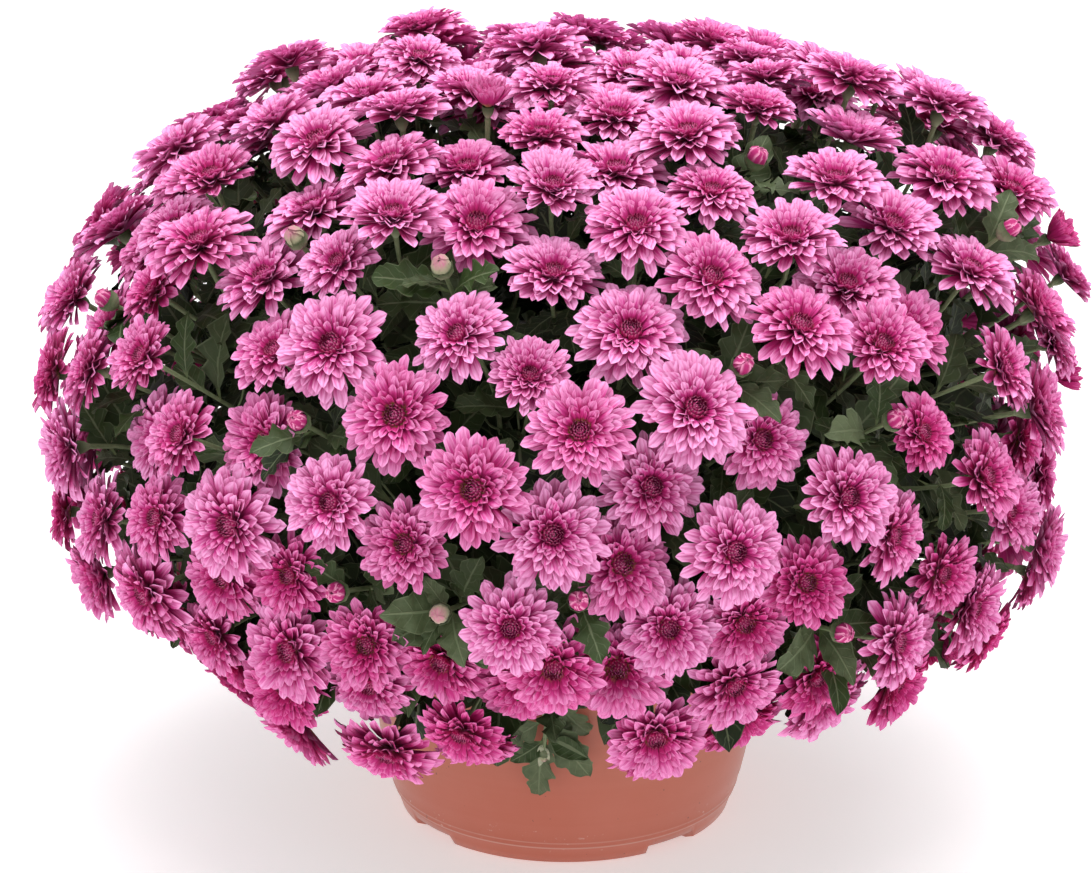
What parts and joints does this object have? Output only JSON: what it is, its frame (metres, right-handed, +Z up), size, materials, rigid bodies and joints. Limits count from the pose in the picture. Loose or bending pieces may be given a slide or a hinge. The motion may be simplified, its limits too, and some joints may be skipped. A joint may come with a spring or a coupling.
{
  "type": "pot chrysanthemum",
  "caption": "Round garden chrysanthemum in bloom: a wide dome of double pink flowers with dark centres over lobed leaves, in a terracotta-coloured bowl pot.",
  "frame": {"origin": "centre of the foot ring, on the surface that the pot stands on", "axes": "+Z up, the plant's pictured front faces -Y, +X to the right of that front"},
  "size_m": [0.4882, 0.4946, 0.3804],
  "materials": {
    "terracotta_plastic": "matte terracotta-coloured moulded plastic with a soft sheen",
    "potting_soil": "dark brown crumbly peat soil",
    "woody_stem": "rough grey-brown woody stem base",
    "bloom": "soft pink petals, paler at their tips, with dark magenta centres; green stalks under them",
    "foliage": "matte grey-green leaves and stalks"
  },
  "bodies": {
    "root": {"pot": "terracotta_plastic", "potting_soil": "potting_soil", "woody_crown": "woody_stem", "spray_01": "bloom", "spray_02": "bloom", "spray_03": "bloom", "spray_04": "bloom", "spray_05": "bloom", "spray_06": "bloom", "spray_07": "bloom", "spray_08": "bloom", "spray_09": "bloom", "spray_10": "bloom", "spray_11": "bloom", "spray_12": "bloom", "spray_13": "bloom", "spray_14": "bloom", "spray_15": "bloom", "spray_16": "bloom", "spray_17": "bloom", "spray_18": "bloom", "spray_19": "bloom", "spray_20": "bloom", "spray_21": "bloom", "spray_22": "bloom", "spray_23": "bloom", "spray_24": "bloom", "spray_25": "bloom", "spray_26": "bloom", "spray_27": "bloom", "spray_28": "bloom", "spray_29": "bloom", "spray_30": "bloom", "spray_31": "bloom", "spray_32": "bloom", "spray_33": "bloom", "spray_34": "bloom", "spray_35": "bloom", "spray_36": "bloom", "leafy_shoot_01": "foliage", "leafy_shoot_02": "foliage", "leafy_shoot_03": "foliage", "leafy_shoot_04": "foliage", "leafy_shoot_05": "foliage", "leafy_shoot_06": "foliage", "leafy_shoot_07": "foliage", "leafy_shoot_08": "foliage", "leafy_shoot_09": "foliage", "leafy_shoot_10": "foliage", "leafy_shoot_11": "foliage", "leafy_shoot_12": "foliage", "leafy_shoot_13": "foliage", "leafy_shoot_14": "foliage", "leafy_shoot_15": "foliage", "leafy_shoot_16": "foliage", "leafy_shoot_17": "foliage", "leafy_shoot_18": "foliage", "leafy_shoot_19": "foliage", "leafy_shoot_20": "foliage"}
  },
  "joints": []
}
